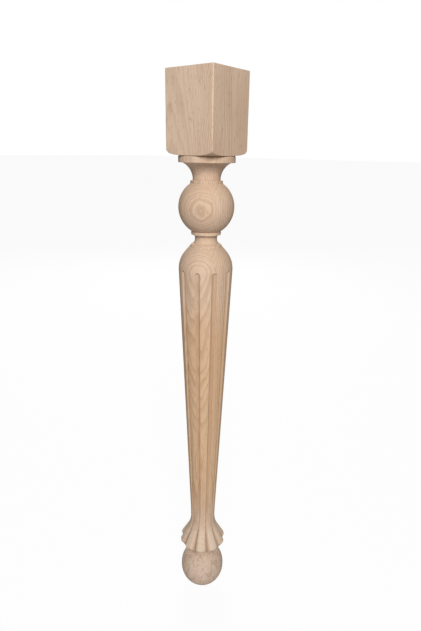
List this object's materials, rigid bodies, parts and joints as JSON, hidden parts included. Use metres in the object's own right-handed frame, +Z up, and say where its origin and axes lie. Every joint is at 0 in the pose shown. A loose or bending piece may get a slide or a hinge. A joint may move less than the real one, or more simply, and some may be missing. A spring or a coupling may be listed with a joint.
{
  "type": "turned table leg",
  "caption": "Turned wooden table leg: square block, ball, domed and tapering fluted shaft, carved petal cuff and ball foot.",
  "frame": {"origin": "on the turning axis at the bottom of the ball foot", "axes": "+Z up along the turning axis to the top of the block; X and Y square to the faces of the block"},
  "size_m": [0.07, 0.07, 0.75],
  "materials": {
    "wood": "matte"
  },
  "bodies": {
    "root": {"table_leg": "wood"}
  },
  "joints": []
}
